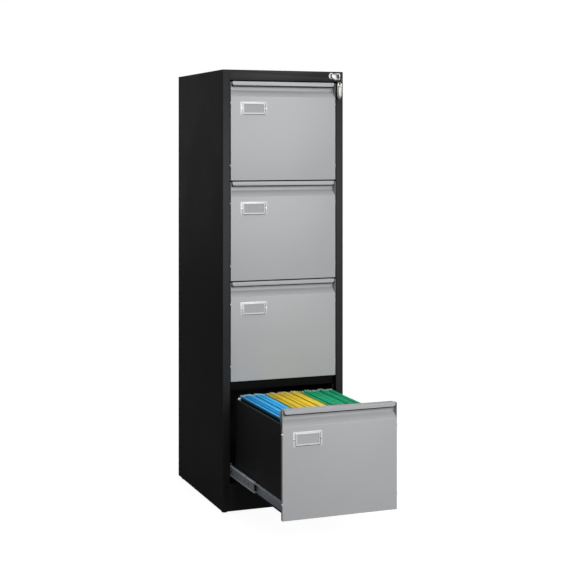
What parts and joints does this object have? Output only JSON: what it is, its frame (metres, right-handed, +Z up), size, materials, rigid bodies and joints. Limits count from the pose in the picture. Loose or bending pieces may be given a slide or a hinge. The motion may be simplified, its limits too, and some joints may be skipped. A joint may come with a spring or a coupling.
{
  "type": "metal filing cabinet",
  "caption": "Tall steel filing cabinet with grey drawers in a black case, pull lips, label holders, telescopic slides, a key lock and the bottom drawer open on hanging folders.",
  "frame": {"origin": "on the floor, under the middle of the whole part's bounding box with the bottom drawer pulled out", "axes": "+X to the right seen from the front, +Y from the drawer fronts to the back, +Z up"},
  "size_m": [0.39, 0.9076, 1.33],
  "materials": {
    "black_paint": "fine textured semi-matt powder coat",
    "grey_paint": "smooth satin powder coat",
    "black_plastic": "moulded matt",
    "bright_plate": "bright nickel plate",
    "key_steel": "nickel plate, lightly scratched",
    "zinc_plate": "blue-passivated zinc plate",
    "blue_card": "dyed card",
    "yellow_card": "dyed card",
    "green_card": "dyed card"
  },
  "bodies": {
    "carcass": {"back_panel": "black_paint", "base_pan": "black_paint", "cross_rails": "black_paint", "left_side_panel": "black_paint", "levelling_feet": "black_plastic", "lock_bar_guides": "black_plastic", "lock_barrel": "bright_plate", "lock_fascia": "black_paint", "lock_nut": "bright_plate", "plinth": "black_paint", "right_side_panel": "black_paint", "slide_outer_members": "zinc_plate", "slide_uprights": "black_paint", "top_panel": "black_paint"},
    "lock_core": {"lock_plug": "bright_plate", "lock_cam": "zinc_plate", "key_in_lock": "key_steel"},
    "hanging_keys": {"key_ring": "key_steel", "spare_key": "key_steel"},
    "lock_bar": {"lock_bar": "zinc_plate"},
    "drawer_1": {"drawer_1_file_rails": "zinc_plate", "drawer_1_fixings": "bright_plate", "drawer_1_front": "grey_paint", "drawer_1_grip": "grey_paint", "drawer_1_label_holder": "bright_plate", "drawer_1_lock_catch": "zinc_plate", "drawer_1_slide_inner": "zinc_plate", "drawer_1_tray": "black_paint"},
    "drawer_1_middle_slides": {"drawer_1_slide_middle": "zinc_plate"},
    "drawer_2": {"drawer_2_file_rails": "zinc_plate", "drawer_2_fixings": "bright_plate", "drawer_2_front": "grey_paint", "drawer_2_grip": "grey_paint", "drawer_2_label_holder": "bright_plate", "drawer_2_lock_catch": "zinc_plate", "drawer_2_slide_inner": "zinc_plate", "drawer_2_tray": "black_paint"},
    "drawer_2_middle_slides": {"drawer_2_slide_middle": "zinc_plate"},
    "drawer_3": {"drawer_3_file_rails": "zinc_plate", "drawer_3_fixings": "bright_plate", "drawer_3_front": "grey_paint", "drawer_3_grip": "grey_paint", "drawer_3_label_holder": "bright_plate", "drawer_3_lock_catch": "zinc_plate", "drawer_3_slide_inner": "zinc_plate", "drawer_3_tray": "black_paint"},
    "drawer_3_middle_slides": {"drawer_3_slide_middle": "zinc_plate"},
    "drawer_4": {"drawer_4_file_rails": "zinc_plate", "drawer_4_fixings": "bright_plate", "drawer_4_front": "grey_paint", "drawer_4_grip": "grey_paint", "drawer_4_label_holder": "bright_plate", "drawer_4_lock_catch": "zinc_plate", "drawer_4_slide_inner": "zinc_plate", "drawer_4_tray": "black_paint", "blue_folders": "blue_card", "yellow_folders": "yellow_card", "green_folders": "green_card"},
    "drawer_4_middle_slides": {"drawer_4_slide_middle": "zinc_plate"}
  },
  "joints": [
    {"name": "drawer_1_slide", "type": "slide", "parent": "carcass", "child": "drawer_1", "axis": [0, -1, 0], "range_m": [0, 0.434]},
    {"name": "drawer_1_middle_slide", "type": "slide", "parent": "carcass", "child": "drawer_1_middle_slides", "axis": [0, -1, 0], "range_m": [0, 0.217]},
    {"name": "drawer_2_slide", "type": "slide", "parent": "carcass", "child": "drawer_2", "axis": [0, -1, 0], "range_m": [0, 0.434]},
    {"name": "drawer_2_middle_slide", "type": "slide", "parent": "carcass", "child": "drawer_2_middle_slides", "axis": [0, -1, 0], "range_m": [0, 0.217]},
    {"name": "drawer_3_slide", "type": "slide", "parent": "carcass", "child": "drawer_3", "axis": [0, -1, 0], "range_m": [0, 0.434]},
    {"name": "drawer_3_middle_slide", "type": "slide", "parent": "carcass", "child": "drawer_3_middle_slides", "axis": [0, -1, 0], "range_m": [0, 0.217]},
    {"name": "drawer_4_slide", "type": "slide", "parent": "carcass", "child": "drawer_4", "axis": [0, -1, 0], "range_m": [-0.434, 0]},
    {"name": "drawer_4_middle_slide", "type": "slide", "parent": "carcass", "child": "drawer_4_middle_slides", "axis": [0, -1, 0], "range_m": [-0.217, 0]},
    {"name": "lock_turn", "type": "hinge", "parent": "carcass", "child": "lock_core", "pos_m": [0.156, -0.01625, 1.3167], "axis": [0, -1, 0], "range_deg": [-90, 0]},
    {"name": "lock_bar_slide", "type": "slide", "parent": "carcass", "child": "lock_bar", "axis": [0, 0, 1], "range_m": [-0.011, 0]},
    {"name": "keys_swing", "type": "hinge", "parent": "lock_core", "child": "hanging_keys", "pos_m": [0.1762, -0.02375, 1.31045], "axis": [0, -1, 0], "range_deg": [-8, 90]}
  ],
  "couplings": [
    {"joint": "drawer_1_middle_slide", "follows": "drawer_1_slide", "ratio": 0.5},
    {"joint": "drawer_2_middle_slide", "follows": "drawer_2_slide", "ratio": 0.5},
    {"joint": "drawer_3_middle_slide", "follows": "drawer_3_slide", "ratio": 0.5},
    {"joint": "drawer_4_middle_slide", "follows": "drawer_4_slide", "ratio": 0.5},
    {"joint": "lock_turn", "follows": "lock_bar_slide", "rad_per_m": 142.79}
  ]
}
